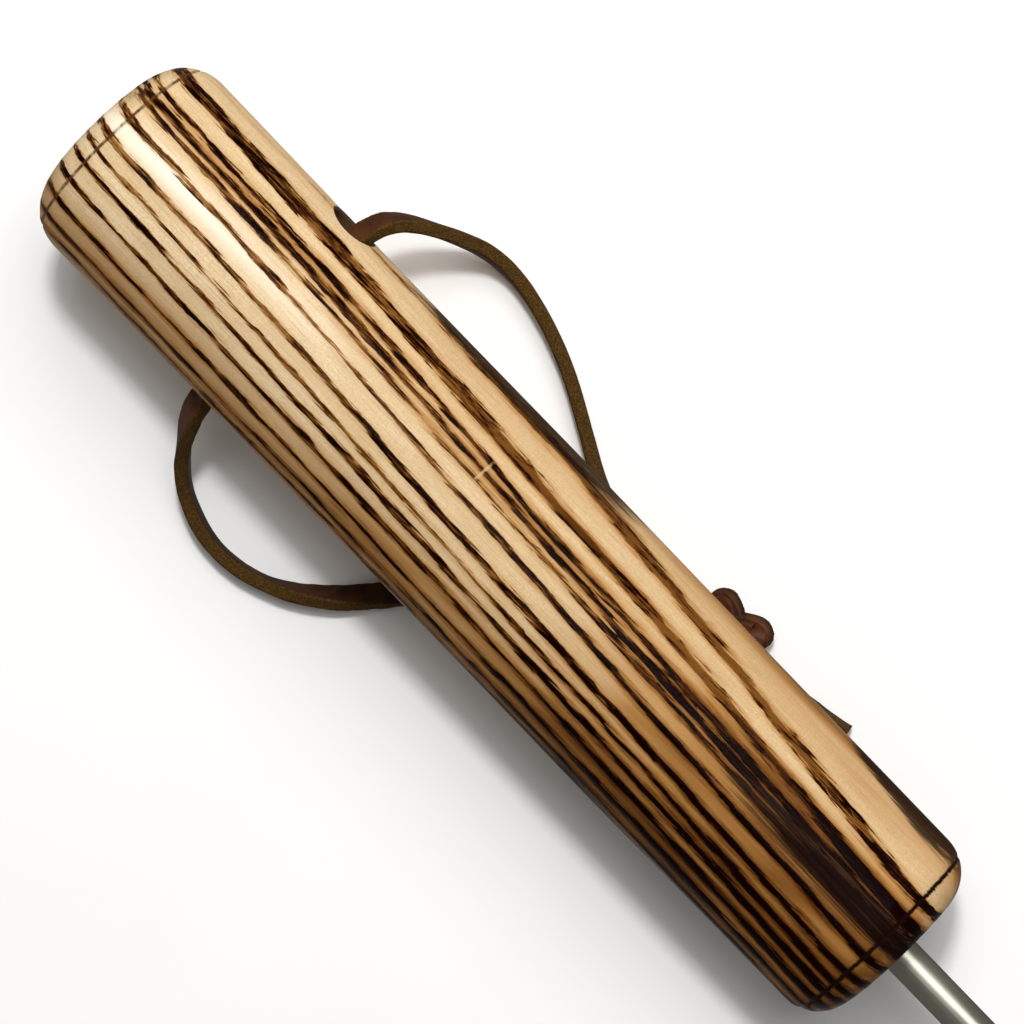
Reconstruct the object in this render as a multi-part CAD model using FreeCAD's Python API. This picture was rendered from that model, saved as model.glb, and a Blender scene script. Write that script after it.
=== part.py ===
import FreeCAD, Part
import math
import os

# A straight steel mandrel rod glued into a round pine handle, with a knotted leather lace
# through a cross hole near the butt end. Millimetres.
#
# Frame: the common axis of rod and handle is X, and the rod points to +X. The origin is on
# that axis, in the handle's front face, where the rod comes out. The butt end is at
# -HANDLE_LENGTH. +Z is up when the tool lies on a bench on top of its lace.

# Handle
HANDLE_LENGTH = 148.0
BUTT_RADIUS = 15.3
FRONT_RADIUS = 14.7
BUTT_ROUNDING = 6.5
FRONT_ROUNDING = 6.0
GROOVE_INSET = 3.5
GROOVE_WIRE_RADIUS = 0.45
GROOVE_DEPTH = 0.3

# Cross hole for the lace
HOLE_RADIUS = 3.25
HOLE_FROM_BUTT = 32.2
HOLE_MOUTH_ROUNDING = 0.6

# Rod and its glued socket
ROD_RADIUS = 2.5
ROD_EXPOSED = 200.0
ROD_TIP_ROUNDING = 1.5
TANG_LENGTH = 60.0
TANG_RADIUS = 2.0
TANG_CHAMFER = 0.5
EPOXY_THICKNESS = 0.2

# Lace: a flat leather thong, held here as a round tube as thick as the flattened thong
LACE_DIAMETER = 2.4
BENCH_Z = -17.7
LAID_Z = BENCH_Z + LACE_DIAMETER / 2
ARC_SHARE = 0.45

# Overhand knot, tied with both ends at once: two lobes side by side
KNOT_LOBE_RADIUS = 2.9
KNOT_LOBE_X = (-47.3, -43.1)
KNOT_FROM_Y = 8.6
KNOT_TO_Y = 15.0
KNOT_Z = -14.6
KNOT_ROUNDING = 2.0

X_AXIS = FreeCAD.Vector(1, 0, 0)
Y_AXIS = FreeCAD.Vector(0, 1, 0)

# Each lace route starts in the middle of the cross hole or at the knot.
SHORT_STRAND = [
    (-114.6, 0.0, 0.0),
    (-114.6, 7.5, 0.15),
    (-114.7, 15.0, -0.2),
    (-113.6, 19.3, -3.3),
    (-108.6, 22.2, -8.8),
    (-102.1, 23.6, -14.6),
    (-93.8, 22.6, LAID_Z),
    (-84.8, 19.5, LAID_Z),
    (-76.8, 15.2, LAID_Z),
    (-69.3, 10.9, LAID_Z),
    (-61.3, 9.9, LAID_Z),
    (-54.1, 11.5, -15.8),
    (-48.8, 12.4, -14.7),
]
LONG_STRAND = [
    (-114.6, 0.0, 0.0),
    (-114.7, -7.5, -0.15),
    (-114.6, -15.6, -0.3),
    (-114.2, -20.6, -4.6),
    (-112.8, -26.4, -10.4),
    (-109.1, -31.2, -14.6),
    (-101.3, -34.0, LAID_Z),
    (-92.5, -32.0, LAID_Z),
    (-84.9, -26.6, LAID_Z),
    (-78.8, -19.1, LAID_Z),
    (-73.3, -11.8, LAID_Z),
    (-67.1, -5.2, LAID_Z),
    (-60.7, 1.2, LAID_Z),
    (-54.3, 6.3, -15.9),
    (-48.9, 9.6, -14.9),
]
LONG_TAIL = [
    (-41.3, 11.6, -14.9),
    (-36.1, 9.9, LAID_Z),
    (-29.9, 9.9, LAID_Z),
    (-24.1, 11.7, LAID_Z),
]
SHORT_TAIL = [
    (-41.3, 9.0, -15.4),
    (-36.3, 5.8, LAID_Z),
    (-30.7, 4.0, LAID_Z),
    (-26.1, 3.9, LAID_Z),
]


def vector(point):
    return FreeCAD.Vector(*point)


def handle_outline():
    """Half of the handle's lengthwise section, from the butt's centre to the front's."""
    butt = -HANDLE_LENGTH
    corner = math.sqrt(0.5)
    butt_flat = vector((butt, 0, BUTT_RADIUS - BUTT_ROUNDING))
    butt_middle = vector(
        (butt + BUTT_ROUNDING * (1 - corner), 0, BUTT_RADIUS - BUTT_ROUNDING * (1 - corner))
    )
    butt_side = vector((butt + BUTT_ROUNDING, 0, BUTT_RADIUS))
    front_side = vector((-FRONT_ROUNDING, 0, FRONT_RADIUS))
    front_middle = vector(
        (-FRONT_ROUNDING * (1 - corner), 0, FRONT_RADIUS - FRONT_ROUNDING * (1 - corner))
    )
    front_flat = vector((0, 0, FRONT_RADIUS - FRONT_ROUNDING))
    edges = [
        Part.LineSegment(vector((butt, 0, 0)), butt_flat),
        Part.Arc(butt_flat, butt_middle, butt_side),
        Part.LineSegment(butt_side, front_side),
        Part.Arc(front_side, front_middle, front_flat),
        Part.LineSegment(front_flat, vector((0, 0, 0))),
        Part.LineSegment(vector((0, 0, 0)), vector((butt, 0, 0))),
    ]
    return Part.Wire([edge.toShape() for edge in edges])


def ring_groove(end_x, towards_middle, end_radius, rounding):
    """The ring that a hot wire burns round the rounding of one end."""
    surface_radius = end_radius - rounding + math.sqrt(rounding**2 - (rounding - GROOVE_INSET) ** 2)
    return Part.makeTorus(
        surface_radius + GROOVE_WIRE_RADIUS - GROOVE_DEPTH,
        GROOVE_WIRE_RADIUS,
        vector((end_x + towards_middle * GROOVE_INSET, 0, 0)),
        X_AXIS,
    )


def rod_socket():
    """The blind hole that the rod's tang is glued into, as a solid."""
    depth = TANG_LENGTH + EPOXY_THICKNESS
    return Part.makeCylinder(TANG_RADIUS + EPOXY_THICKNESS, depth, vector((-depth, 0, 0)), X_AXIS)


def is_hole_mouth(edge):
    """The saddle-shaped edges where the cross hole leaves the handle's side."""
    return HOLE_RADIUS < edge.BoundBox.XLength < 3 * HOLE_RADIUS


def handle():
    body = Part.Face(handle_outline()).revolve(vector((0, 0, 0)), X_AXIS, 360)
    hole_x = HOLE_FROM_BUTT - HANDLE_LENGTH
    cross_hole = Part.makeCylinder(
        HOLE_RADIUS, 4 * BUTT_RADIUS, vector((hole_x, -2 * BUTT_RADIUS, 0)), Y_AXIS
    )
    body = body.cut(cross_hole)
    mouths = [edge for edge in body.Edges if is_hole_mouth(edge)]
    body = body.makeFillet(HOLE_MOUTH_ROUNDING, mouths)
    body = body.cut(rod_socket())
    body = body.cut(ring_groove(-HANDLE_LENGTH, 1, BUTT_RADIUS, BUTT_ROUNDING))
    return body.cut(ring_groove(0, -1, FRONT_RADIUS, FRONT_ROUNDING))


def mandrel_rod():
    """The free rod with its rounded tip, and the thinner tang that is glued into the handle.
    The shoulder between them seats on the handle's front face."""
    rod = Part.makeCylinder(ROD_RADIUS, ROD_EXPOSED, vector((0, 0, 0)), X_AXIS)
    tip = [edge for edge in rod.Edges if edge.BoundBox.XMin > ROD_EXPOSED - 1]
    rod = rod.makeFillet(ROD_TIP_ROUNDING, tip)
    tang = Part.makeCylinder(TANG_RADIUS, TANG_LENGTH, vector((-TANG_LENGTH, 0, 0)), X_AXIS)
    end = [edge for edge in tang.Edges if edge.BoundBox.XMax < 1 - TANG_LENGTH]
    return rod.fuse(tang.makeChamfer(TANG_CHAMFER, end))


def epoxy_bed():
    """The glue that fills the socket round the tang."""
    return rod_socket().cut(mandrel_rod())


def rounded_route(points):
    """Straight runs joined by tangent arcs, each as large as its two runs allow."""
    corners = [vector(point) for point in points]
    pieces = []
    radii = []
    reached = corners[0]
    for before, corner, after in zip(corners, corners[1:], corners[2:]):
        arriving = (corner - before).normalize()
        leaving = (after - corner).normalize()
        half_turn = arriving.getAngle(leaving) / 2
        cut_back = ARC_SHARE * min((corner - before).Length, (after - corner).Length)
        radius = cut_back / math.tan(half_turn)
        inward = (leaving - arriving).normalize()
        arc_start = corner - arriving * cut_back
        arc_end = corner + leaving * cut_back
        arc_middle = corner + inward * (radius / math.cos(half_turn) - radius)
        pieces.append(Part.LineSegment(reached, arc_start).toShape())
        pieces.append(Part.Arc(arc_start, arc_middle, arc_end).toShape())
        reached = arc_end
        radii.append(radius)
    pieces.append(Part.LineSegment(reached, corners[-1]).toShape())
    return Part.Wire(pieces), radii


def lace(name, points):
    """A length of the lace as a round tube along its route."""
    route, radii = rounded_route(points)
    start = vector(points[0])
    direction = vector(points[1]) - start
    ring = Part.makeCircle(LACE_DIAMETER / 2, start, direction)
    tube = route.makePipeShell([Part.Wire([ring])], True, True)
    section = math.pi * LACE_DIAMETER**2 / 4
    print(name, "length", round(route.Length, 1), "volume", round(tube.Volume, 1))
    print("   section times length", round(section * route.Length, 1))
    print("   bend radii", [round(radius, 1) for radius in radii])
    return tube


def knot_lobe(x):
    lobe = Part.makeCylinder(
        KNOT_LOBE_RADIUS, KNOT_TO_Y - KNOT_FROM_Y, vector((x, KNOT_FROM_Y, KNOT_Z)), Y_AXIS
    )
    rims = [edge for edge in lobe.Edges if edge.BoundBox.YLength < 1]
    return lobe.makeFillet(KNOT_ROUNDING, rims)


def knot():
    first, second = [knot_lobe(x) for x in KNOT_LOBE_X]
    return first.fuse(second).removeSplitter()


def main():
    os.makedirs("parts", exist_ok=True)
    shapes = {
        "handle": handle(),
        "mandrel_rod": mandrel_rod(),
        "epoxy_bed": epoxy_bed(),
        "lace_short_strand": lace("lace_short_strand", SHORT_STRAND),
        "lace_long_strand": lace("lace_long_strand", LONG_STRAND),
        "lace_knot": knot(),
        "lace_long_tail": lace("lace_long_tail", LONG_TAIL),
        "lace_short_tail": lace("lace_short_tail", SHORT_TAIL),
    }
    for node, shape in shapes.items():
        print(node, "solids", len(shape.Solids), "valid", shape.isValid(), "volume", round(shape.Volume, 1))
        shape.exportStep("parts/" + node + ".step")


main()
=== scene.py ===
import math

import bmesh
import bpy
import numpy as np
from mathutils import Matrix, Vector


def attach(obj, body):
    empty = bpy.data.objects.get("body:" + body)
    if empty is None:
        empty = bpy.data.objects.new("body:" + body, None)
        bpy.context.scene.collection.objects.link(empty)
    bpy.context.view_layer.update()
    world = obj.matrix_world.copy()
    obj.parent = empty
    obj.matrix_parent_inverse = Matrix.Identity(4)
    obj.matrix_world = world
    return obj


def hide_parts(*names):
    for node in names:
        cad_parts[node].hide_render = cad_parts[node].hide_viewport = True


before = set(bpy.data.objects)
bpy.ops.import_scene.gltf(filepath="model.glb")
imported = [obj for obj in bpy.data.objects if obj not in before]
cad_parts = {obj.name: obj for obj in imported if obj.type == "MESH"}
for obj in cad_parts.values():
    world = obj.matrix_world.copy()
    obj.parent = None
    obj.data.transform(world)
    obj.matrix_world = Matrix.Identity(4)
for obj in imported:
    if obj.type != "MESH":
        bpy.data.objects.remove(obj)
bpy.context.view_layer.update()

MM = 0.001

# Handle, in mm, as in the CAD: the axis is X, the butt end at -LENGTH, the rod end at 0
LENGTH = 148.0
BUTT_RADIUS = 15.3
FRONT_RADIUS = 14.7
BUTT_ROUNDING = 6.5
FRONT_ROUNDING = 6.0
GROOVE_INSET = 3.5
GROOVE_HALF_WIDTH = 0.34
GROOVE_DEPTH = 0.13
HOLE_X = -115.8
HOLE_RADIUS = 3.25
HOLE_ROUNDING = 0.6
BORE_RADIUS = 2.2
BORE_DEPTH = 60.2

# Lace, in mm: a flat thong, whose cut edges fade out over the last EDGE_BAND of its faces
LACE_WIDTH = 3.3
LACE_THICKNESS = 1.9
LACE_CORNER = 0.38
EDGE_BAND = 0.35
EDGE_FADE = 0.3

# Heights in mm: the bench, the floor just under the lace's lowest bulge, and the middle of the
# thong where it lies flat, on its edge, or on its edge and leaning
BENCH_Z = -17.35
FLOOR_Z = BENCH_Z - 0.03
FLAT_Z = BENCH_Z + LACE_THICKNESS / 2
ON_EDGE_Z = BENCH_Z + LACE_WIDTH / 2 + 0.17
LEANING_Z = ON_EDGE_Z + 0.1

# The viewing direction leans this far from straight down, towards +Y
LEAN = math.radians(13.0)


def link(obj):
    bpy.context.scene.collection.objects.link(obj)
    return obj


# ---------------------------------------------------------------- camera


# In mm, but for the roll
CAMERA_DISTANCE = 615.0
CAMERA_SLIDE = 30.0
CAMERA_AIM = -75.3
CAMERA_OFF_CENTRE = 3.6
CAMERA_LENS = 167.3
CAMERA_SENSOR = 36.0
CAMERA_ROLL = math.radians(45.95)


def make_camera():
    """Almost straight down on the handle, which runs from upper left to lower right."""
    across = Vector((0, math.cos(LEAN), -math.sin(LEAN)))
    upwards = Vector((0, math.sin(LEAN), math.cos(LEAN)))
    aim = Vector((CAMERA_AIM, 0, 0)) + across * CAMERA_OFF_CENTRE
    place = aim + upwards * CAMERA_DISTANCE + Vector((CAMERA_SLIDE, 0, 0))
    backwards = (place - aim).normalized()
    along = (Vector((1, 0, 0)) - backwards * backwards.x).normalized()
    sideways = backwards.cross(along)
    right = along * math.cos(CAMERA_ROLL) + sideways * math.sin(CAMERA_ROLL)
    up = backwards.cross(right)
    data = bpy.data.cameras.new("camera")
    data.lens = CAMERA_LENS
    data.sensor_width = CAMERA_SENSOR
    data.clip_start = 10 * MM
    camera = link(bpy.data.objects.new("camera", data))
    matrix = camera.matrix_world.copy()
    for column, axis in enumerate((right, up, backwards)):
        for row in range(3):
            matrix[row][column] = axis[row]
    for row in range(3):
        matrix[row][3] = place[row] * MM
    camera.matrix_world = matrix
    bpy.context.scene.camera = camera


make_camera()

# ---------------------------------------------------------------- lace

# Control points of each strand's route, in mm, and the way the thong's width points there.
SHORT_STRAND = [
    ((-114.6, 0.0, 0.0), (0.8, 0, 0.6)),
    ((-114.5, 7.5, 0.15), (0.8, 0, 0.6)),
    ((-114.6, 15.0, -0.2), (0.85, 0.1, 0.55)),
    ((-113.1, 18.9, -3.0), (0.8, 0.35, 0.55)),
    ((-107.7, 21.4, -8.6), (0.5, 0.4, 0.75)),
    ((-101.5, 23.0, -14.4), (0.2, 0.35, 0.9)),
    ((-93.8, 22.3, ON_EDGE_Z), (0, 0.24, 1)),
    ((-84.8, 19.3, ON_EDGE_Z), (0, 0.24, 1)),
    ((-76.8, 14.9, ON_EDGE_Z), (0, 0.24, 1)),
    ((-69.3, 10.5, ON_EDGE_Z), (0, 0.1, 1)),
    ((-61.3, 8.9, ON_EDGE_Z + 0.1), (0, 0.1, 1)),
    ((-54.1, 8.5, -15.4), (0, 0.7, 0.7)),
    ((-48.4, 7.8, -15.3), (0, 1, 0.2)),
]
LONG_STRAND = [
    ((-114.6, 0.0, 0.0), (-0.8, 0, -0.6)),
    ((-114.7, -7.5, -0.15), (-0.8, 0, -0.6)),
    ((-114.6, -15.6, -0.3), (-0.85, 0, -0.5)),
    ((-113.9, -20.6, -4.6), (-0.75, 0.3, -0.5)),
    ((-112.1, -25.8, -10.4), (-0.45, 0.43, -0.8)),
    ((-108.4, -30.5, -14.4), (-0.42, 0.14, -0.76)),
    ((-100.9, -33.2, LEANING_Z), (0, -0.12, -1)),
    ((-92.5, -31.6, LEANING_Z), (-0.05, -0.08, -1)),
    ((-84.9, -26.3, LEANING_Z), (-0.3, 0.4, -0.8)),
    ((-78.8, -18.8, -16.0), (-0.7, 0.65, -0.25)),
    ((-73.3, -11.7, -16.3), (-0.75, 0.65, -0.08)),
    ((-67.1, -5.2, FLAT_Z), (-0.75, 0.65, 0)),
    ((-60.7, 1.2, FLAT_Z), (-0.7, 0.7, 0)),
    ((-54.3, 5.2, -16.2), (-0.5, 0.8, 0)),
    ((-48.6, 6.8, -15.5), (-0.4, 0.9, 0)),
]


def spline_line(name, points, steps=24):
    """Points read from the smooth NURBS line that has these control points, in mm."""
    data = bpy.data.curves.new(name + "_route", "CURVE")
    data.dimensions = "3D"
    spline = data.splines.new("NURBS")
    spline.points.add(len(points) - 1)
    for control, point in zip(spline.points, points):
        control.co = (*(c * MM for c in point), 1.0)
    spline.order_u = 3
    spline.use_endpoint_u = True
    data.resolution_u = steps
    route = link(bpy.data.objects.new(name + "_route", data))
    bpy.context.view_layer.update()
    mesh = bpy.data.meshes.new_from_object(route)
    line = np.array([v.co for v in mesh.vertices]) / MM
    bpy.data.objects.remove(route)
    bpy.data.curves.remove(data)
    bpy.data.meshes.remove(mesh)
    return line


def run_lengths(line):
    """How far along the line each of its points is."""
    return np.concatenate([[0], np.cumsum(np.linalg.norm(np.diff(line, axis=0), axis=1))])


def unit(vectors):
    return vectors / np.maximum(np.linalg.norm(vectors, axis=-1, keepdims=True), 1e-12)


def interpolated(at, known_at, known):
    return np.stack([np.interp(at, known_at, known[:, k]) for k in range(3)], axis=1)


def thong_profile():
    """The thong's section, going round it: (across its width, through its thickness)."""
    half_w, half_t = LACE_WIDTH / 2, LACE_THICKNESS / 2
    inner_w, inner_t = half_w - LACE_CORNER, half_t - LACE_CORNER
    points = []
    for side_w, side_t, start in ((1, 1, 0), (-1, 1, 90), (-1, -1, 180), (1, -1, 270)):
        for step in range(5):
            angle = math.radians(start + 22.5 * step)
            w = side_w * inner_w + LACE_CORNER * math.cos(angle)
            t = side_t * inner_t + LACE_CORNER * math.sin(angle)
            points.append((w, t))
        if side_w == side_t:
            points += [(side_w * inner_w * k, side_t * half_t) for k in (0.6, 0.2, -0.2, -0.6)]
        else:
            points += [(side_w * half_w, side_t * inner_t * k) for k in (0.5, 0, -0.5)]
    return np.array(points)


# How the thong's width wanders: radians per mm of its run, and share of the width
WIDTH_WAVES = ((0.31, 0.018), (0.83, 0.014), (1.9, 0.010))
# Lumps, as shares of the section's size, and the share of a cut edge that a tight knot shows
FACE_ROUGHNESS = 0.012
EDGE_ROUGHNESS = 0.045
SQUEEZED_EDGE = 0.35


def sweep_thong(name, lines, seed, ends_cut=(), squeezed=()):
    """One mesh of flat thongs. Each line is (centre points, width directions), in mm.
    ends_cut lists the lines whose far end is a bare cut end, and squeezed lists those whose
    cut edges hardly show because the knot has pressed them round."""
    profile = thong_profile()
    count = len(profile)
    rng = np.random.default_rng(seed)
    vertices, faces, edge_share, grain_share = [], [], [], []
    for number, (line, width_hint) in enumerate(lines):
        tangent = unit(np.gradient(line, axis=0))
        width = unit(width_hint - tangent * (width_hint * tangent).sum(1, keepdims=True))
        through = np.cross(width, tangent)
        run = run_lengths(line)
        # the thong's width wanders a little, and its cut edges are ragged
        waves = sum(
            np.sin(run * frequency + rng.uniform(0, 6.28)) * amount
            for frequency, amount in WIDTH_WAVES
        )
        rough = rng.normal(0, 1, (len(line) + 4, count))
        rough = (rough[:-4] + rough[1:-3] + rough[2:-2] + rough[3:-1] + rough[4:]) / 5
        from_edge = LACE_WIDTH / 2 - np.abs(profile[:, 0])
        on_edge = np.clip((EDGE_BAND - from_edge) / EDGE_FADE, 0, 1)
        start = len(vertices)
        for i, centre in enumerate(line):
            bulge = 1 + waves[i]
            for j, (w, t) in enumerate(profile):
                lump = 1 + rough[i, j] * (FACE_ROUGHNESS + EDGE_ROUGHNESS * on_edge[j])
                vertices.append(centre + width[i] * w * bulge * lump + through[i] * t * lump)
                edge_share.append(on_edge[j] * (SQUEEZED_EDGE if number in squeezed else 1.0))
                grain_share.append(1.0 if t > 0 else 0.0)
        for i in range(len(line) - 1):
            for j in range(count):
                a, b = start + i * count + j, start + i * count + (j + 1) % count
                faces.append((a, b, b + count, a + count))
        faces.append(tuple(range(start + count - 1, start - 1, -1)))
        last = start + (len(line) - 1) * count
        if number in ends_cut:
            for j in range(count):
                edge_share[last + j] = 1.0
        faces.append(tuple(range(last, last + count)))
    mesh = bpy.data.meshes.new(name)
    mesh.from_pydata([Vector(v * MM) for v in vertices], [], faces)
    for label, values in (("edge", edge_share), ("grain_side", grain_share)):
        layer = mesh.attributes.new(label, "FLOAT", "POINT")
        layer.data.foreach_set("value", np.array(values, np.float32))
    tidy_normals(mesh)
    return link(bpy.data.objects.new(name, mesh))


def tidy_normals(mesh):
    """All faces outwards and shaded smooth."""
    work = bmesh.new()
    work.from_mesh(mesh)
    bmesh.ops.recalc_face_normals(work, faces=work.faces)
    work.to_mesh(mesh)
    work.free()
    mesh.shade_smooth()


def strand(name, route, node, seed):
    """A strand of the lace from inside the cross hole to the knot, and its centre line."""
    points = np.array([point for point, _ in route])
    hints = np.array([hint for _, hint in route], float)
    line = spline_line(name, points)
    corner_at = run_lengths(points)
    line_at = run_lengths(line)
    at = line_at * corner_at[-1] / line_at[-1]
    piece = sweep_thong(name, [(line, interpolated(at, corner_at, hints))], seed)
    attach(piece, "lanyard")
    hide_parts(node)
    return piece, line


# ---------------------------------------------------------------- knot

# The knot's middle, and the size of its loops, in mm. Its line is three polynomials of one
# parameter, from -KNOT_REACH to KNOT_REACH. Then come how far the loops slant and lean, and half
# the distance between the two thongs, in mm.
KNOT_CENTRE = np.array((-44.85, 9.8, -14.86))
KNOT_STRETCH = np.array((0.33, -1.32, 0.32))
KNOT_REACH = 1.98
KNOT_SKEW = 0.09
KNOT_LEAN = (0, -0.3, 1.0)
KNOT_LAYER = 0.45
LONG_TAIL_Z = FLAT_Z + 0.38
SHORT_TAIL_Z = FLAT_Z + 0.05
LONG_TAIL = [
    (-41.0, 9.4, -14.7),
    (-36.1, 9.3, LONG_TAIL_Z),
    (-29.9, 9.9, LONG_TAIL_Z),
    (-24.1, 11.1, LONG_TAIL_Z),
]
SHORT_TAIL = [
    (-41.0, 8.0, -15.1),
    (-36.3, 5.8, SHORT_TAIL_Z),
    (-30.7, 4.0, SHORT_TAIL_Z),
    (-26.1, 3.9, SHORT_TAIL_Z),
]


def knot_line(layer):
    """One thong's way through the overhand knot, with its two lobes on the +Y side.
    layer is -1 for the lower thong of the pair and 1 for the upper one."""
    t = np.linspace(-KNOT_REACH, KNOT_REACH, 120)
    loop = np.stack([t**5 - 10 * t, t**4 - 4 * t**2 + 2, t**3 - 3 * t], axis=1) * KNOT_STRETCH
    loop[:, 1] += KNOT_SKEW * loop[:, 0]
    centre = KNOT_CENTRE + loop
    tangent = unit(np.gradient(centre, axis=0))
    lean = np.array(KNOT_LEAN)
    through = unit(lean - tangent * (tangent @ lean)[:, None])
    width = np.cross(tangent, through)
    return centre + (through + 0.5 * width) * layer * KNOT_LAYER, width


def tail_line(name, points, lean):
    line = spline_line(name, points, 12)
    tangent = unit(np.gradient(line, axis=0))
    flat = unit(np.cross(np.array((0, 0, 1.0)), tangent))
    hints = flat + np.array((0, 0, 1.0)) * lean
    return line, hints


def make_knot():
    outer, inner = knot_line(1), knot_line(-1)
    long_tail = tail_line("long_tail", LONG_TAIL, 0.25)
    short_tail = tail_line("short_tail", SHORT_TAIL, 0.0)
    lines = [outer, inner, long_tail, short_tail]
    piece = sweep_thong("lace_knot_and_tails", lines, 5, ends_cut=(2, 3), squeezed=(0, 1))
    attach(piece, "lanyard")
    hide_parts("lace_knot", "lace_long_tail", "lace_short_tail")
    return piece


short_strand, short_line = strand(
    "lace_short_strand_leather", SHORT_STRAND, "lace_short_strand", 11
)
long_strand, long_line = strand(
    "lace_long_strand_leather", LONG_STRAND, "lace_long_strand", 12
)
knot = make_knot()

# ---------------------------------------------------------------- handle

# Growth rings are shells round a distant pith on the -Y side. Each late-wood line has the place
# of its shell, as an offset in mm from the axis, its thickness in mm and how burnt it is, all at
# five stations along the handle.
PITH_DISTANCE = 70.0
STATIONS = (-148.0, -111.0, -74.0, -37.0, 0.0)
LATE_WOOD = [
    ((14.7, 14.4, 13.5, 10.7, 7.1), (-0.8, -0.3, 1.0, 1.1, 1.1), (0.0, 0.2, 0.42, 0.40, 0.95)),
    ((12.9, 11.5, 9.4, 7.4, 4.3), (1.7, 1.3, 1.1, 1.1, 1.1), (0.78, 0.66, 0.42, 0.42, 0.95)),
    ((9.9, 9.0, 6.8, 4.9, 3.1), (0.5, 0.55, 0.6, 0.7, 0.9), (0.75, 0.70, 0.58, 0.62, 1.0)),
    ((8.5, 7.7, 5.5, 3.5, 2.1), (0.8, 0.75, 0.55, 0.8, 1.0), (0.70, 0.68, 0.55, 0.75, 1.0)),
    ((7.5, 6.4, 4.2, 2.4, 0.8), (0.6, 0.4, 0.4, 0.6, 0.9), (0.68, 0.55, 0.48, 0.68, 1.0)),
    ((4.9, 3.9, 1.6, -0.3, -2.2), (0.6, 0.55, 0.6, 0.7, 0.8), (0.55, 0.50, 0.60, 0.80, 1.0)),
    ((1.7, 0.4, -1.8, -3.5, -5.4), (0.8, 0.75, 0.75, 0.8, 0.9), (0.58, 0.62, 0.70, 0.90, 1.0)),
    ((-0.6, -2.3, -4.1, -5.7, -7.7), (0.5, 0.45, 0.5, 0.65, 0.8), (0.66, 0.52, 0.56, 0.78, 1.0)),
    ((-3.0, -4.5, -6.2, -7.6, -9.5), (0.6, 0.65, 0.7, 0.75, 0.8), (0.80, 0.70, 0.68, 0.88, 1.0)),
    ((-5.9, -7.3, -8.4, -9.8, -11.5), (0.65, 0.6, 0.6, 0.7, 0.8), (0.78, 0.68, 0.62, 0.86, 1.0)),
    ((-9.2, -10.3, -11.2, -12.1, -13.3), (0.5, 0.45, 0.45, 0.5, 0.6), (0.6, 0.58, 0.58, 0.8, 1.0)),
    ((-12.1, -12.8, -13.2, -13.9, -14.6), (0.4, 0.35, 0.35, 0.4, 0.4), (0.55, 0.5, 0.55, 0.75, 0.9)),
    ((-13.9, -14.2, -14.5, -14.9, -15.4), (0.3, 0.3, 0.3, 0.3, 0.3), (0.6, 0.6, 0.6, 0.7, 0.7)),
]
# The room beyond the first and last line, and how proud the late wood stands, in mm
OUTER_GAP = 4.0
RIDGE_HEIGHT = 0.09


def ring_offset(x, y, z):
    """The growth-ring coordinate of points in the handle, in mm, which is constant on a shell
    but for a slight waver, and their height in the viewing direction."""
    side = y * math.cos(LEAN) - z * math.sin(LEAN)
    up = y * math.sin(LEAN) + z * math.cos(LEAN)
    offset = np.hypot(side + PITH_DISTANCE, up) - PITH_DISTANCE
    below = np.minimum(up, 0)
    wander = (
        0.06 * np.sin(x / 17.0 + side * 0.23)
        + 0.035 * np.sin(x / 7.3 + side * 0.61 + 1.3)
        + 0.7 * np.sin(below * 0.21) * np.sin(x / 31.0 + 1.0)
        + 0.06 * below
    )
    return offset + wander, up


def smooth_step(low, high, value):
    t = np.clip((value - low) / (high - low), 0, 1)
    return t * t * (3 - 2 * t)


def late_wood(x, y, z):
    """Where points lie among the late-wood lines: their place counted in lines, and the gap
    between lines, the line's thickness (both in mm) and its burn there."""
    offset, _ = ring_offset(x, y, z)
    lines = []
    for number, (places, thicknesses, burns) in enumerate(LATE_WOOD):
        uneven = np.sin(x / 8.3 + 2.7 * number) * np.sin(x / 21.0 + 1.9 * number)
        thickness = np.interp(x, STATIONS, thicknesses) * (1 + 0.22 * uneven)
        lines.append((np.interp(x, STATIONS, places), thickness, np.interp(x, STATIONS, burns)))
    place, thickness, burn = lines[0]
    count = -np.clip((offset - place) / OUTER_GAP, 0, 0.5)
    gap = np.full(offset.shape, OUTER_GAP)
    for (place, thick, burnt), (next_place, next_thick, next_burnt) in zip(lines, lines[1:]):
        passed = np.clip((place - offset) / (place - next_place), 0, 1)
        nearer = smooth_step(0.3, 0.7, passed)
        count = count + passed
        gap = np.where(passed > 0, place - next_place, gap)
        thickness = thickness + nearer * (next_thick - thick)
        burn = burn + nearer * (next_burnt - burnt)
    beyond = lines[-1][0] - offset
    gap = np.where(beyond > 0, OUTER_GAP, gap)
    return count + np.clip(beyond / OUTER_GAP, 0, 0.5), gap, thickness, burn


def inside_line(x, y, z):
    """How far inside the nearest late-wood line points are, in mm, negative outside it."""
    count, gap, thickness, _ = late_wood(x, y, z)
    return thickness / 2 - np.abs(count - np.round(count)) * gap


# How many rows of points the handle's mesh has on its ends, roundings and side
END_FACE_ROWS = 9
BUTT_ROUNDING_ROWS = 42
FRONT_ROUNDING_ROWS = 38
ROWS_TO_HOLE = 41
ROWS_FROM_HOLE = 157


def groove_share(turn, groove_at, rounding):
    """How deep the burnt ring is, 0 to 1, at an angle on an end's rounding."""
    return max(0.0, 1 - ((turn - groove_at) * rounding / GROOVE_HALF_WIDTH) ** 2)


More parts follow.
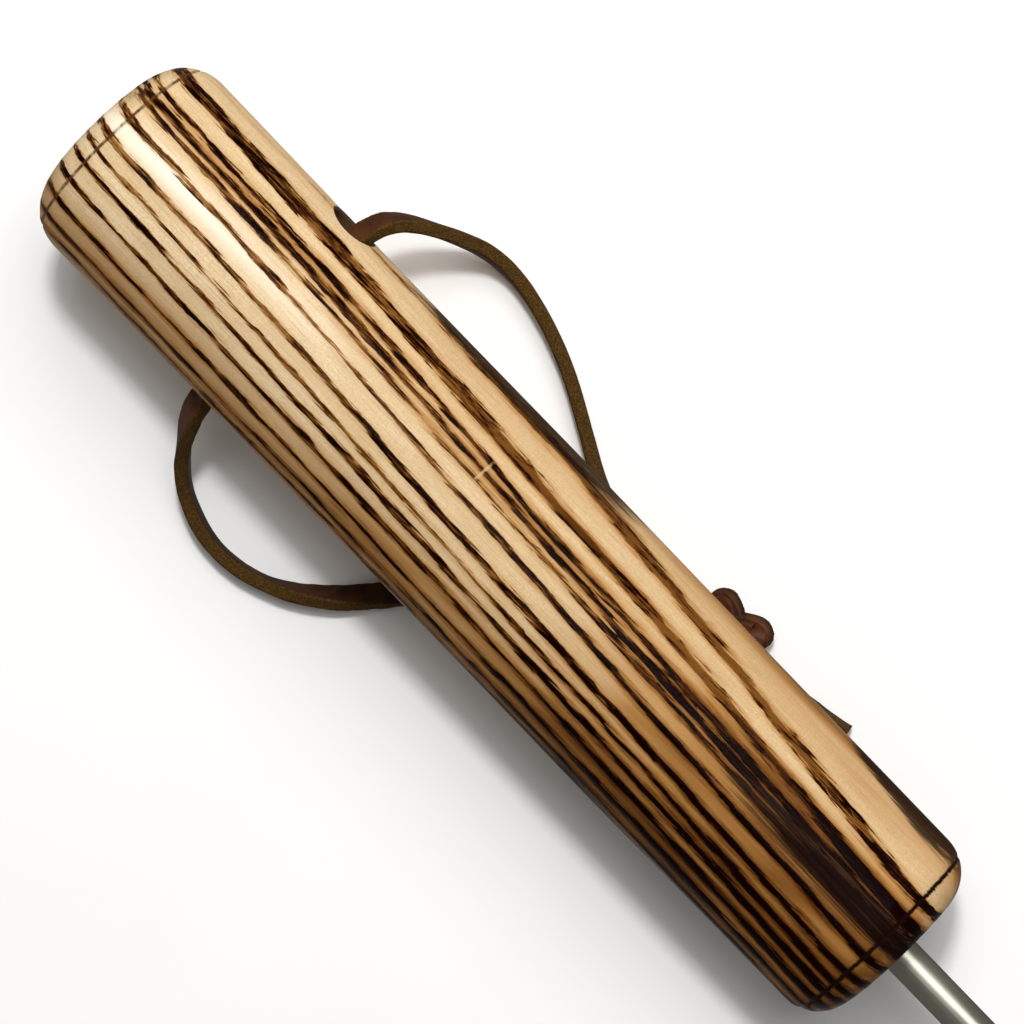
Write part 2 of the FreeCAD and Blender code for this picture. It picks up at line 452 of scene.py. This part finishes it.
def outline():
    """The handle's outline as rows of (x, radius, outward x, outward radius, groove share)."""
    butt_flat = BUTT_RADIUS - BUTT_ROUNDING
    rows = [(-LENGTH, r, -1, 0, 0) for r in np.linspace(0.7, butt_flat, END_FACE_ROWS)[:-1]]
    groove_at = math.acos((BUTT_ROUNDING - GROOVE_INSET) / BUTT_ROUNDING)
    for turn in np.linspace(0, math.pi / 2, BUTT_ROUNDING_ROWS)[:-1]:
        x = -LENGTH + BUTT_ROUNDING * (1 - math.cos(turn))
        radius = BUTT_RADIUS - BUTT_ROUNDING * (1 - math.sin(turn))
        share = groove_share(turn, groove_at, BUTT_ROUNDING)
        rows.append((x, radius, -math.cos(turn), math.sin(turn), share))
    butt_side, front_side = -LENGTH + BUTT_ROUNDING, -FRONT_ROUNDING
    to_hole = np.linspace(butt_side, HOLE_X, ROWS_TO_HOLE)[:-1]
    from_hole = np.linspace(HOLE_X, front_side, ROWS_FROM_HOLE)[:-1]
    for x in np.concatenate([to_hole, from_hole]):
        radius = np.interp(x, (butt_side, front_side), (BUTT_RADIUS, FRONT_RADIUS))
        rows.append((x, radius, 0, 1, 0))
    groove_at = math.asin((FRONT_ROUNDING - GROOVE_INSET) / FRONT_ROUNDING)
    for turn in np.linspace(0, math.pi / 2, FRONT_ROUNDING_ROWS)[:-1]:
        x = -FRONT_ROUNDING * (1 - math.sin(turn))
        radius = FRONT_RADIUS - FRONT_ROUNDING * (1 - math.cos(turn))
        share = groove_share(turn, groove_at, FRONT_ROUNDING)
        rows.append((x, radius, math.sin(turn), math.cos(turn), share))
    front_flat = FRONT_RADIUS - FRONT_ROUNDING
    rows += [(0, r, 1, 0, 0) for r in np.linspace(front_flat, 2.9, END_FACE_ROWS)]
    # a small chamfer close round the rod, then the wall of its bore
    rows += [(-0.25, 2.6, 0.7, 0, 0), (-0.4, BORE_RADIUS, 0, 0, 0)]
    rows += [(x, BORE_RADIUS, 0, 0, 0) for x in (-1.5, -20.0, -BORE_DEPTH)]
    return np.array(rows, float)


# Points round the handle, and half the rows and columns left out round each mouth of the hole
ROUND = 320
HOLE_ROWS, HOLE_COLUMNS = 8, 20
# The column in each mouth's middle, and which way its ring is numbered
HOLE_SIDES = {ROUND // 4: -1, 3 * ROUND // 4: 1}
# How far from the grid's edge to the mouth the scorching starts, and rings down the hole's wall,
# which take the full scorch and painted shade
MOUTH_UNBURNT = 0.55
WALL_DEPTHS = (2.5, 5.5, 9.0)


def placed(x, radius, out_x, out_r, groove, phi):
    """Points of the outline turned to the angles phi (from +Z towards +Y), with the hand-made
    unevenness, the proud late wood and the burnt grooves."""
    sin, cos = np.sin(phi), np.cos(phi)
    proud = smooth_step(-0.35, 0.25, inside_line(x, radius * sin, radius * cos))
    ridge = RIDGE_HEIGHT * (0.25 + 0.75 * out_r**3)
    uneven = 0.05 * np.sin(x / 23.0 + 2 * phi) + 0.04 * np.sin(x / 11.0 - 3 * phi + 1.0)
    lift = uneven - ridge * (1 - proud) - GROOVE_DEPTH * groove
    lift = lift * np.where(np.abs(out_x) + np.abs(out_r) > 0, 1, 0)
    r = radius + out_r * lift
    return np.stack([x + out_x * lift, r * sin, r * cos], axis=-1)


def vertex(i, j):
    """The number of the vertex in the grid's row i and column j."""
    return i * ROUND + j % ROUND


def band(first, second):
    """Faces between two closed rings of vertices."""
    count = len(first)
    return [
        (first[k], first[(k + 1) % count], second[(k + 1) % count], second[k])
        for k in range(count)
    ]


def ring_round_hole(hole_row, column, turn):
    """The grid's vertices round the place left out for one mouth of the cross hole."""
    columns, rows = range(-HOLE_COLUMNS, HOLE_COLUMNS), range(-HOLE_ROWS, HOLE_ROWS)
    loop = [(hole_row + HOLE_ROWS, column + k * turn) for k in columns]
    loop += [(hole_row - k, column + HOLE_COLUMNS * turn) for k in rows]
    loop += [(hole_row - HOLE_ROWS, column - k * turn) for k in columns]
    loop += [(hole_row + k, column - HOLE_COLUMNS * turn) for k in rows]
    return [i * ROUND + j for i, j in loop]


def mouth_rings(rim, side):
    """Rings of points from the grid's edge to the hole's mouth, round it and down the hole's wall,
    each with how burnt it is, which also sets how much painted shade the hole's wall takes. side is
    1 on the +Y side and -1 on the other."""
    radius = np.interp(HOLE_X, (-LENGTH, 0), (BUTT_RADIUS, FRONT_RADIUS))
    angle = np.arctan2(rim[:, 2], rim[:, 0] - HOLE_X)
    edge = HOLE_RADIUS + HOLE_ROUNDING
    start_xz = np.stack([rim[:, 0], rim[:, 2]], axis=1)
    edge_xz = np.stack([HOLE_X + edge * np.cos(angle), edge * np.sin(angle)], axis=1)
    ones = np.ones(len(rim))
    rings = []
    for share in np.linspace(0, 1, 9)[1:]:
        xz = start_xz + (edge_xz - start_xz) * share
        phi = np.arctan2(side * np.sqrt(radius**2 - xz[:, 1] ** 2), xz[:, 1])
        points = placed(xz[:, 0], radius * ones, 0 * ones, ones, 0 * ones, phi)
        rings.append((points, max(0.0, share - MOUTH_UNBURNT)))
    turns = np.linspace(0, math.pi / 2, 6)[1:]
    reach_and_depth = [
        (HOLE_RADIUS + HOLE_ROUNDING * (1 - math.sin(turn)), HOLE_ROUNDING * (1 - math.cos(turn)))
        for turn in turns
    ]
    reach_and_depth += [(HOLE_RADIUS, depth) for depth in WALL_DEPTHS]
    for reach, sunk in reach_and_depth:
        z = reach * np.sin(angle)
        y = side * (np.sqrt(radius**2 - z**2) - sunk - RIDGE_HEIGHT)
        rings.append((np.stack([HOLE_X + reach * np.cos(angle), y, z], axis=1), 1.0))
    return rings


def handle_mesh():
    """The handle's mesh, its points in mm, and how near each is to the hole's burnt mouth, which
    also carries the painted shade inside the hole.
    """
    rows = outline()
    count = len(rows)
    phi = np.arange(ROUND) * 2 * math.pi / ROUND
    spread = [rows[:, k][:, None] * np.ones(ROUND) for k in range(5)]
    grid = placed(*spread, np.ones((count, 1)) * phi)
    vertices = list(grid.reshape(-1, 3))
    mouth = [0.0] * len(vertices)
    on_side = rows[:, 3] == 1
    hole_row = int(np.argmin(np.where(on_side, np.abs(rows[:, 0] - HOLE_X), np.inf)))
    left_out = {
        (i, j)
        for column in HOLE_SIDES
        for i in range(hole_row - HOLE_ROWS, hole_row + HOLE_ROWS)
        for j in range(column - HOLE_COLUMNS, column + HOLE_COLUMNS)
    }
    faces = [
        (vertex(i, j), vertex(i, j + 1), vertex(i + 1, j + 1), vertex(i + 1, j))
        for i in range(count - 1)
        for j in range(ROUND)
        if (i, j) not in left_out
    ]
    for row, x in ((0, -LENGTH), (count - 1, -BORE_DEPTH)):
        pole = len(vertices)
        vertices.append(np.array((x, 0, 0)))
        mouth.append(0.0)
        faces += [(vertex(row, j), vertex(row, j + 1), pole) for j in range(ROUND)]
    wall_ends = []
    for column, turn in HOLE_SIDES.items():
        ring = ring_round_hole(hole_row, column, turn)
        for points, burnt in mouth_rings(np.array([vertices[v] for v in ring]), -turn):
            inner = list(range(len(vertices), len(vertices) + len(points)))
            vertices += list(points)
            mouth += [burnt] * len(points)
            faces += band(ring, inner)
            ring = inner
        wall_ends.append(ring)
    faces += band(*wall_ends)
    mesh = bpy.data.meshes.new("handle_wood")
    at = np.array(vertices)
    mesh.from_pydata(at * MM, [], faces)
    return mesh, at, np.array(mouth)


# Inside this radius, in mm, are the ends' flats and the bore, which no burnt ring reaches
END_FACE_RADIUS = 8.0


def spot(x, phi, at_x, at_phi, half_x, half_phi):
    """A soft round patch on the handle's side, 1 in its middle."""
    turn = (phi - math.radians(at_phi) + math.pi) % (2 * math.pi) - math.pi
    far = ((x - at_x) / half_x) ** 2 + (turn / math.radians(half_phi)) ** 2
    return np.exp(-far)


def paint_handle(mesh, at, mouth):
    """Stores what the wood's material reads at each point of the handle. Its patches are shares
    from 0 to 1, placed in mm along the handle and degrees round it."""
    x, y, z = at.T
    phi = np.arctan2(y, z)
    count, gap, thickness, burn = late_wood(x, y, z)
    offset, up = ring_offset(x, y, z)
    outer_ring = np.interp(x, STATIONS, LATE_WOOD[0][0])
    middle_patch = np.clip(2.2 * spot(x, phi, -84, 92, 17, 26), 0, 1)
    front_patch = np.clip(2.2 * spot(x, phi, -13, 92, 9, 26), 0, 1)
    smoke = (
        0.9 * middle_patch * smooth_step(-0.9, 0.6, offset - outer_ring)
        + 0.9 * front_patch * smooth_step(-0.6, 0.6, offset - outer_ring - 4.7)
        + 1.25 * spot(x, phi, -6, 14, 24, 8)
        + 0.4 * spot(x, phi, -146.5, 42, 5, 12)
        + 0.7 * spot(x, phi, -60, 200, 25, 12)
        + 0.6 * spot(x, phi, -20, 250, 16, 14)
    )
    front = smooth_step(-75, -12, x)
    upper = np.clip(spot(x, phi, -30, 58, 60, 24) * 1.6, 0, 1)
    # darker and browner towards the -Y side, which is turned from the light: partly the flame's
    # toasting, partly painted shade
    toast_and_shade_side = smooth_step(math.radians(-8), math.radians(-40), phi)
    toast_and_shade_side = toast_and_shade_side * (phi > math.radians(-120))
    toast = (
        0.03
        + 0.12 * smooth_step(-115, -80, x)
        + front * (0.95 + 0.25 * toast_and_shade_side) * (1 - 0.9 * upper)
        + 0.44 * toast_and_shade_side
        + 0.20 * smooth_step(math.radians(40), math.radians(70), phi)
        + 0.40 * spot(x, phi, -125, 42, 30, 6)
        + 0.30 * spot(x, phi, -70, 30, 40, 7)
        + 0.30 * spot(x, phi, -62, 46, 22, 4)
    )
    values = {
        # a painted highlight: the near-white gleam of the varnish near the butt, painted as colour
        "painted_highlight": spot(x, phi, -134, 21, 22, 6.5),
        "count": count,
        "gap": gap,
        "thickness": thickness,
        "burn": np.clip(burn, 0, 1),
        "smoke": np.clip(smoke, 0, 1),
        "toast": np.clip(toast, 0, 1),
        "end_face": (np.hypot(y, z) < END_FACE_RADIUS).astype(float),
        "mouth": mouth,
    }
    for label, value in values.items():
        layer = mesh.attributes.new(label, "FLOAT", "POINT")
        layer.data.foreach_set("value", value.astype(np.float32))
    layer = mesh.attributes.new("grain", "FLOAT_VECTOR", "POINT")
    layer.data.foreach_set("vector", np.stack([x, offset, up], axis=1).astype(np.float32).ravel())


def make_handle():
    mesh, at, mouth = handle_mesh()
    paint_handle(mesh, at, mouth)
    tidy_normals(mesh)
    piece = link(bpy.data.objects.new("handle_wood", mesh))
    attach(piece, "mandrel")
    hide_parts("handle")
    return piece


handle = make_handle()

# ---------------------------------------------------------------- materials


class Shader:
    """A material's node tree, with short ways to add nodes to it."""

    def __init__(self, name):
        self.material = bpy.data.materials.new(name)
        self.material.use_nodes = True
        self.tree = self.material.node_tree
        self.surface = self.tree.nodes["Principled BSDF"]

    def add(self, kind, inputs=None, **settings):
        made = self.tree.nodes.new(kind)
        for name, value in settings.items():
            setattr(made, name, value)
        for key, value in (inputs or {}).items():
            self.feed(made.inputs[key], value)
        return made

    def feed(self, socket, value):
        if isinstance(value, bpy.types.NodeSocket):
            self.tree.links.new(value, socket)
        else:
            socket.default_value = value

    def set(self, **values):
        """Sets or links the surface's own sockets; underscores stand for spaces."""
        for name, value in values.items():
            self.feed(self.surface.inputs[name.replace("_", " ")], value)

    def attribute(self, name, output="Fac"):
        return self.add("ShaderNodeAttribute", attribute_name=name).outputs[output]

    def place(self):
        return self.add("ShaderNodeTexCoord").outputs["Object"]

    def scaled(self, vector, scale):
        made = self.add("ShaderNodeVectorMath", {0: vector, 1: scale}, operation="MULTIPLY")
        return made.outputs[0]

    def noise(self, vector, scale=(1, 1, 1), detail=2.0, rough=0.5):
        inputs = {"Vector": self.scaled(vector, scale), "Scale": 1.0}
        inputs.update({"Detail": detail, "Roughness": rough})
        return self.add("ShaderNodeTexNoise", inputs).outputs["Fac"]

    def cells(self, vector, scale):
        """One random number for each irregular cell."""
        inputs = {"Vector": self.scaled(vector, scale), "Scale": 1.0}
        return self.add("ShaderNodeTexVoronoi", inputs).outputs["Color"]

    def math(self, operation, a, b=0.0, c=0.0):
        return self.add("ShaderNodeMath", {0: a, 1: b, 2: c}, operation=operation).outputs[0]

    def swing(self, value, amount):
        """A 0 to 1 value as plus or minus amount."""
        return self.math("MULTIPLY_ADD", value, 2 * amount, -amount)

    def swung(self, value, *parts):
        """A value with others added to it, each of them swinging by its own amount."""
        for part, amount in parts:
            value = self.math("ADD", value, self.swing(part, amount))
        return value

    def step(self, value, low, high, to_low=0.0, to_high=1.0):
        inputs = {
            "Value": value,
            "From Min": low,
            "From Max": high,
            "To Min": to_low,
            "To Max": to_high,
        }
        return self.add("ShaderNodeMapRange", inputs, interpolation_type="SMOOTHSTEP").outputs[0]

    def mix(self, share, a, b):
        inputs = {0: share, 6: self.colour(a), 7: self.colour(b)}
        return self.add("ShaderNodeMix", inputs, data_type="RGBA").outputs[2]

    def colour(self, value):
        return value if isinstance(value, bpy.types.NodeSocket) else (*value, 1.0)

    def bump(self, height, distance, strength):
        inputs = {"Height": height, "Distance": distance, "Strength": strength}
        return self.add("ShaderNodeBump", inputs).outputs["Normal"]


def near_plane(s, along, at, half_width, ragged, unevenness):
    """1 close to where along equals at, fading to 0 about half_width away from it, all in mm,
    with an uneven edge."""
    away = s.math("ABSOLUTE", s.math("SUBTRACT", along, at))
    away = s.math("ADD", away, s.swing(ragged, unevenness))
    return s.step(away, half_width * 0.5, half_width * 1.3, 1.0, 0.0)


# The wood's noises: cycles per mm along the grain, across the rings and along them, detail and
# roughness
WOOD_NOISES = {
    "ragged": ((1.3, 7.0, 1.0), 3.0, 0.6),
    "streaks": ((0.15, 5.5, 0.5), 3.0, 0.7),
    "dashes": ((0.19, 1.2, 0.3), 2.0, 0.6),
    "fibre": ((0.14, 9.0, 1.0), 3.0, 0.65),
    "cloud": ((0.05, 0.35, 0.35), 2.0, 0.5),
    "scratch": ((8.0, 0.35, 0.35), 3.0, 0.5),
    "mottle": ((2.6, 5.0, 4.0), 3.0, 0.65),
    "speckle": ((4.5, 8.0, 6.0), 2.0, 0.6),
}
BUNDLE_CELLS = (0.20, 2.9, 0.4)

# The wood's colours. Each browning has the heat that starts it, the heat that completes it and
# the colour it leads to.
PALE_WOOD = ((0.63, 0.465, 0.265), (0.745, 0.585, 0.375))
BROWN_FIBRE = (0.44, 0.27, 0.11)
BROWN_PORES = (0.50, 0.33, 0.15)
BROWN_SPECKS = (0.48, 0.33, 0.16)
SANDED = (0.84, 0.71, 0.50)
# colour of the painted highlight, the varnish's gleam near the butt
PAINTED_HIGHLIGHT = (0.93, 0.84, 0.70)
BROWNINGS = (
    (0.00, 0.32, (0.36, 0.175, 0.050)),
    (0.22, 0.52, (0.150, 0.056, 0.010)),
    (0.46, 0.76, (0.045, 0.0125, 0.002)),
    (0.76, 1.00, (0.0045, 0.0006, 0.0004)),
)
THIN_SOOT = ((0.014, 0.006, 0.003), (0.075, 0.036, 0.014))
THICK_SOOT = (0.006, 0.0015, 0.001)
BUTT_RING = (0.075, 0.026, 0.009)
FRONT_RING = (0.009, 0.0028, 0.0015)
# the hole's mouths and wall: partly scorching, partly painted shade inside the hole
HOLE_SCORCH_AND_SHADE = (0.030, 0.014, 0.007)
NICK = (0.58, 0.40, 0.20)
NICK_X = -80.8
NICK_RING_OFFSET = 5.9


def early_wood(s, noise):
    """Pale early wood, with fine brown fibres, the cross scratches of sanding and a near-white
    painted highlight near the butt.
    """
    early = s.mix(s.step(noise["cloud"], 0.35, 0.65), *PALE_WOOD)
    early = s.mix(s.step(noise["fibre"], 0.46, 0.72, 0.0, 0.75), early, BROWN_FIBRE)
    early = s.mix(s.step(noise["mottle"], 0.45, 0.66, 0.0, 0.50), early, BROWN_PORES)
    early = s.mix(s.step(noise["speckle"], 0.45, 0.66, 0.0, 0.50), early, BROWN_SPECKS)
    early = s.mix(s.step(noise["scratch"], 0.48, 0.75, 0.0, 0.18), early, SANDED)
    # the painted highlight near the butt, mixed into the early wood
    return s.mix(s.math("MULTIPLY", s.attribute("painted_highlight"), 0.8), early, PAINTED_HIGHLIGHT)


def late_wood_edge(s, noise, bundles):
    """How far inside a late-wood line, in mm, with streaky edges."""
    count = s.attribute("count")
    from_line = s.math("ABSOLUTE", s.math("SUBTRACT", count, s.math("ROUND", count)))
    from_line = s.math("MULTIPLY", from_line, s.attribute("gap"))
    late = s.math("SUBTRACT", s.math("MULTIPLY", s.attribute("thickness"), 0.5), from_line)
    return s.swung(
        late,
        (noise["streaks"], 0.32),
        (bundles, 0.20),
        (noise["dashes"], 0.36),
        (noise["ragged"], 0.13),
    )


def browned(s, noise, bundles, early, edge, line):
    """The wood as the flame has browned it: beside each line, across it and in its dashes."""
    toast = s.attribute("toast")
    patchy = s.swung(
        s.swing(noise["dashes"], 0.95),
        (noise["streaks"], 0.80),
        (bundles, 0.25),
        (noise["ragged"], 0.35),
        (noise["fibre"], 0.35),
    )
    burnt = s.math("ADD", s.math("MULTIPLY_ADD", s.attribute("burn"), 1.25, -0.52), patchy)
    burnt = s.math("MULTIPLY", line, s.step(burnt, -0.05, 0.80, 0.24, 1.0))
    beside = s.math("MULTIPLY", s.step(edge, -0.7, 0.1), s.step(toast, 0.0, 1.0, 0.10, 0.30))
    broad = s.math("MULTIPLY", toast, s.step(noise["cloud"], 0.3, 0.7, 0.34, 0.52))
    heat = s.math("ADD", s.math("ADD", beside, broad), burnt)
    wooden = early
    for start, complete, colour in BROWNINGS:
        wooden = s.mix(s.step(heat, start, complete), wooden, colour)
    return wooden


def sooted(s, noise, wooden):
    """The wood with its smoke-blackened patches, and how sooty it is."""
    smoke = s.attribute("smoke")
    streaky = s.math("ADD", s.swing(noise["fibre"], 1.1), s.swing(noise["streaks"], 1.0))
    sooty = s.step(s.math("ADD", smoke, s.math("MULTIPLY", streaky, 0.65)), 0.20, 0.75)
    sooty = s.math("MULTIPLY", sooty, s.step(smoke, 0.05, 0.5, 0.0, 0.92))
    soot = s.mix(s.step(noise["fibre"], 0.4, 0.7), *THIN_SOOT)
    thick = s.step(s.swung(smoke, (noise["streaks"], 0.3)), 0.45, 0.85, 0.0, 0.92)
    return s.mix(sooty, wooden, s.mix(thick, soot, THICK_SOOT)), sooty


def marked(s, noise, grain, wooden):
    """The wood with the ring burnt round each end, the hole's scorched mouths with painted shade
    down the hole's wall, and a nick across two lines."""
    along, across, up = s.add("ShaderNodeSeparateXYZ", {0: grain}).outputs
    ragged = noise["ragged"]
    on_side = s.math("SUBTRACT", 1.0, s.attribute("end_face"))
    ring = near_plane(s, along, GROOVE_INSET - LENGTH, 0.24, ragged, 0.25)
    ring = s.math("MULTIPLY", ring, s.step(noise["dashes"], 0.3, 0.6, 0.45, 0.95))
    wooden = s.mix(s.math("MULTIPLY", ring, on_side), wooden, BUTT_RING)
    ring = near_plane(s, along, -GROOVE_INSET, 0.32, ragged, 0.40)
    wooden = s.mix(s.math("MULTIPLY", ring, on_side), wooden, FRONT_RING)
    # scorch at the hole's mouths, and painted shade down the hole's wall
    mouth = s.step(s.attribute("mouth"), 0.70, 1.0, 0.0, 0.95)
    wooden = s.mix(mouth, wooden, HOLE_SCORCH_AND_SHADE)
    nick = near_plane(s, along, NICK_X, 0.20, ragged, 0.3)
    nick = s.math("MULTIPLY", nick, near_plane(s, across, NICK_RING_OFFSET, 1.4, ragged, 0.4))
    nick = s.math("MULTIPLY", nick, s.step(up, 0.0, 1.0))
    return s.mix(s.math("MULTIPLY", nick, 0.65), wooden, NICK)


def wood():
    """Torched and brushed pine under satin varnish."""
    s = Shader("burnt_pine")
    grain = s.attribute("grain", "Vector")
    noise = {name: s.noise(grain, *settings) for name, settings in WOOD_NOISES.items()}
    bundles = s.cells(grain, BUNDLE_CELLS)
    edge = late_wood_edge(s, noise, bundles)
    line = s.step(edge, -0.14, 0.12)
    wooden = browned(s, noise, bundles, early_wood(s, noise), edge, line)
    wooden, sooty = sooted(s, noise, wooden)
    wooden = marked(s, noise, grain, wooden)
    s.set(Base_Color=wooden, Specular_IOR_Level=0.02)
    satin = s.step(noise["mottle"], 0.35, 0.75, 0.15, 0.22)
    s.set(Roughness=s.math("MULTIPLY_ADD", sooty, 0.35, satin))
    relief = s.math("MULTIPLY_ADD", line, 0.55, s.math("MULTIPLY", noise["fibre"], 0.7))
    relief = s.math("MULTIPLY_ADD", noise["scratch"], 0.18, relief)
    relief = s.math("MULTIPLY_ADD", noise["mottle"], 0.25, relief)
    s.set(Normal=s.bump(relief, 0.08 * MM, 0.9))
    return s.material


def leather():
    """Dyed thong: smooth reddish grain face, darker flesh face, fibrous olive cut edges."""
    s = Shader("lace_leather")
    at = s.place()
    pores = s.noise(at, (2600, 2600, 2600), 3.0, 0.6)
    fibre = s.noise(at, (5200, 5200, 5200), 2.0)
    cloud = s.noise(at, (260, 260, 260), 2.0)
    edge = s.attribute("edge")
    grain_face = s.mix(s.step(cloud, 0.35, 0.65), (0.042, 0.013, 0.005), (0.080, 0.027, 0.009))
    flesh_face = s.mix(s.step(cloud, 0.35, 0.65), (0.022, 0.008, 0.004), (0.050, 0.018, 0.007))
    face = s.mix(s.attribute("grain_side"), flesh_face, grain_face)
    face = s.mix(s.step(pores, 0.5, 0.7, 0.0, 0.4), face, (0.020, 0.009, 0.005))
    cut = s.mix(s.step(fibre, 0.34, 0.72), (0.036, 0.017, 0.004), (0.095, 0.050, 0.010))
    cut = s.mix(s.step(pores, 0.60, 0.82, 0.0, 0.30), cut, (0.19, 0.125, 0.036))
    ragged = s.math("ADD", edge, s.swing(pores, 0.5))
    s.set(Base_Color=s.mix(s.step(ragged, 0.3, 0.7), face, cut), Specular_IOR_Level=0.07)
    s.set(Roughness=s.step(edge, 0.2, 0.8, 0.42, 0.85))
    relief = s.math("ADD", pores, fibre)
    relief = s.math("MULTIPLY", relief, s.math("MULTIPLY_ADD", edge, 0.8, 0.25))
    s.set(Normal=s.bump(relief, 0.12 * MM, 0.8))
    return s.material


def steel():
    """Drawn and polished rod: fine lines along it, a few finer ones round it, faint smears."""
    s = Shader("polished_steel")
    at = s.place()
    drawn = s.noise(at, (40, 5200, 5200), 3.0, 0.6)
    turned = s.noise(at, (4000, 60, 60), 2.0)
    smear = s.noise(at, (60, 400, 400), 3.0)
    s.set(Base_Color=s.mix(s.step(smear, 0.35, 0.7), (0.34, 0.33, 0.275), (0.42, 0.405, 0.345)))
    s.set(Metallic=1.0, Specular_Tint=(0.55, 0.54, 0.50, 1.0))
    s.set(Roughness=s.step(smear, 0.3, 0.75, 0.30, 0.42))
    height = s.math("MULTIPLY_ADD", turned, 0.3, drawn)
    s.set(Normal=s.bump(height, 0.012 * MM, 0.5))
    return s.material


def epoxy():
    """Cured amber glue, with small bubbles."""
    s = Shader("epoxy")
    bubbles = s.noise(s.place(), (2500, 2500, 2500), 2.0)
    s.set(Base_Color=s.mix(s.step(bubbles, 0.4, 0.7), (0.20, 0.10, 0.03), (0.38, 0.24, 0.09)))
    s.set(Roughness=0.2)
    s.set(Normal=s.bump(bubbles, 0.05 * MM, 0.5))
    return s.material


def bench():
    """Pale sweep with the faintest mottling."""
    s = Shader("bench")
    mottle = s.noise(s.place(), (30, 30, 30), 3.0)
    s.set(Base_Color=s.mix(mottle, (0.86, 0.86, 0.855), (0.89, 0.89, 0.885)), Roughness=0.9)
    return s.material


def dress(obj, material):
    obj.data.materials.clear()
    obj.data.materials.append(material)


lace_leather = leather()
for piece in (short_strand, long_strand, knot):
    dress(piece, lace_leather)
dress(handle, wood())
dress(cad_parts["mandrel_rod"], steel())
dress(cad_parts["epoxy_bed"], epoxy())

# ---------------------------------------------------------------- stage and light


# The floor and the lights are in metres. The floor is flat as far as FLOOR_FLAT_TO.
FLOOR_HALF_SIZE = 2.5
FLOOR_FLAT_TO = 1.6
FLOOR_UPTURN = 0.35
FLOOR_X = -0.02
WORLD_COLOUR = (1.0, 0.97, 0.93, 1)
WORLD_STRENGTH = 0.22


def make_floor():
    """A wide pale sheet whose far edges turn up softly. It isn't seen in reflections, because
    its pale gleam would veil the charred wood."""
    work = bmesh.new()
    bmesh.ops.create_grid(work, x_segments=48, y_segments=48, size=FLOOR_HALF_SIZE)
    for v in work.verts:
        v.co.z = FLOOR_UPTURN * max(0.0, v.co.length - FLOOR_FLAT_TO) ** 2
    mesh = bpy.data.meshes.new("floor")
    work.to_mesh(mesh)
    work.free()
    mesh.shade_smooth()
    floor = link(bpy.data.objects.new("floor", mesh))
    floor.location = (FLOOR_X, 0, FLOOR_Z * MM)
    floor.visible_glossy = False
    dress(floor, bench())


def make_light(name, place, target, size, power):
    data = bpy.data.lights.new(name, "AREA")
    data.shape = "RECTANGLE"
    data.size, data.size_y = size
    data.energy = power
    light = link(bpy.data.objects.new(name, data))
    light.location = place
    light.rotation_euler = (Vector(target) - Vector(place)).to_track_quat("-Z", "Y").to_euler()


def make_lights():
    make_light(
        "key", place=(-0.25, 0.70, 1.02), target=(-0.06, 0, 0), size=(0.9, 0.8), power=11.4
    )
    make_light(
        "strip", place=(-0.30, 0.46, 0.90), target=(-0.10, 0, 0), size=(0.11, 0.10), power=6.0
    )
    world = bpy.data.worlds.new("world")
    world.use_nodes = True
    background = world.node_tree.nodes["Background"]
    background.inputs["Color"].default_value = WORLD_COLOUR
    background.inputs["Strength"].default_value = WORLD_STRENGTH
    bpy.context.scene.world = world


make_floor()
make_lights()
bpy.context.scene.view_settings.view_transform = "Standard"
